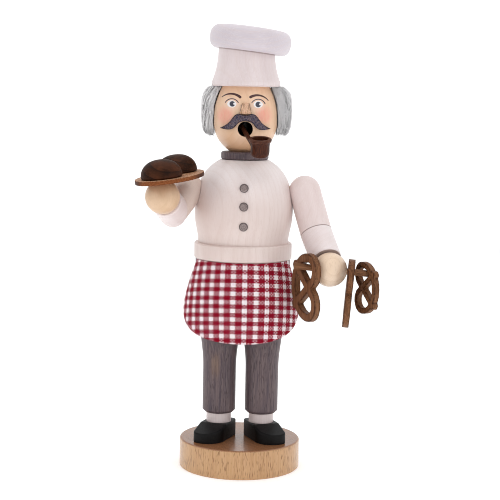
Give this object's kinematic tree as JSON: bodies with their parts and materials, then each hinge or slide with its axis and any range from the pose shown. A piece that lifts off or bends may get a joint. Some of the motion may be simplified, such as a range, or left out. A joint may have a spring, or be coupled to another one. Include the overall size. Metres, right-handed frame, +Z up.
{
  "type": "incense smoker figure",
  "caption": "Turned wooden baker that burns an incense cone: the hollow upper body lifts off an ember plate, smoke leaves by the open mouth, pretzels hang loose on a rod.",
  "frame": {"origin": "middle of the turned base's underside", "axes": "+Z up along the figure's turning axis, -Y the way the face looks, -X the figure's right arm with the bread tray"},
  "size_m": [0.1156, 0.0844, 0.2194],
  "materials": {
    "beech_base": "clear satin lacquer over pale wood with dark vertical flecks",
    "black_stained_wood": "black stain, satin, grain showing",
    "white_glazed_wood": "thin white glaze, satin, warm grain showing through",
    "grey_stained_wood": "grey stain, satin, vertical grain",
    "bare_maple": "clear satin lacquer over pale fine-grained wood",
    "smoked_edge_wood": "grey-blue stain with scorched dark edges",
    "dark_brown_wood": "dark brown stain, satin lacquer",
    "loaf_wood": "brown stain darker at the foot, satin lacquer",
    "tray_wood": "bare light board with a scorched edge",
    "pretzel_wood": "scorched brown, darker at the edges",
    "rod_wood": "bare round rod, light brown",
    "button_wood": "grey-brown stain, turned rings",
    "dowel_wood": "unfinished round rod",
    "gingham_cotton": "woven red and white check, stiffened",
    "grey_fur": "real fur strip, grey-white, long soft hair",
    "ember_sheet": "pressed thin sheet, dull from heat",
    "tack_metal": "domed head, dull"
  },
  "bodies": {
    "lower_body": {"base_disc": "beech_base", "shoe_right": "black_stained_wood", "shoe_left": "black_stained_wood", "sock_right": "white_glazed_wood", "sock_left": "white_glazed_wood", "trouser_leg_right": "grey_stained_wood", "trouser_leg_left": "grey_stained_wood", "leg_dowel_right": "dowel_wood", "leg_dowel_left": "dowel_wood", "hip_dowel_right": "dowel_wood", "hip_dowel_left": "dowel_wood", "hip_block": "grey_stained_wood", "ember_plate": "ember_sheet", "plate_tack": "tack_metal", "apron": "gingham_cotton"},
    "upper_body": {"jacket_body": "white_glazed_wood", "upper_sleeve_right": "white_glazed_wood", "upper_sleeve_left": "white_glazed_wood", "forearm_right": "white_glazed_wood", "forearm_left": "white_glazed_wood", "hat_band": "white_glazed_wood", "hat_crown": "white_glazed_wood", "collar_ring": "grey_stained_wood", "button_top": "button_wood", "button_middle": "button_wood", "button_bottom": "button_wood", "head": "bare_maple", "nose": "bare_maple", "hand_right": "bare_maple", "hand_left": "bare_maple", "moustache": "smoked_edge_wood", "fur_hair": "grey_fur", "hat_dowel": "dowel_wood", "crown_dowel": "dowel_wood", "shoulder_dowel_right": "dowel_wood", "shoulder_dowel_left": "dowel_wood", "wrist_dowel_right": "dowel_wood", "wrist_dowel_left": "dowel_wood", "pipe_bowl": "dark_brown_wood", "pipe_stem": "dark_brown_wood", "bread_tray": "tray_wood", "loaf_front": "loaf_wood", "loaf_rear": "loaf_wood", "pretzel_rod": "rod_wood"},
    "pretzel_left": {"pretzel_left": "pretzel_wood"},
    "pretzel_middle": {"pretzel_middle": "pretzel_wood"},
    "pretzel_right": {"pretzel_right": "pretzel_wood"}
  },
  "joints": [
    {"name": "upper_body_lift", "type": "slide", "parent": "lower_body", "child": "upper_body", "axis": [0, 0, 1], "range_m": [0, 0.045]},
    {"name": "pretzel_left_swing", "type": "hinge", "parent": "upper_body", "child": "pretzel_left", "pos_m": [0.03049, -0.02667, 0.10422], "axis": [0.9941, -0.0747, -0.0785], "range_deg": [-25, 5]},
    {"name": "pretzel_middle_swing", "type": "hinge", "parent": "upper_body", "child": "pretzel_middle", "pos_m": [0.05167, -0.02826, 0.10255], "axis": [0.9941, -0.0747, -0.0785], "range_deg": [-25, 25]},
    {"name": "pretzel_right_swing", "type": "hinge", "parent": "upper_body", "child": "pretzel_right", "pos_m": [0.05937, -0.02884, 0.10194], "axis": [0.9941, -0.0747, -0.0785], "range_deg": [-25, 25]}
  ]
}
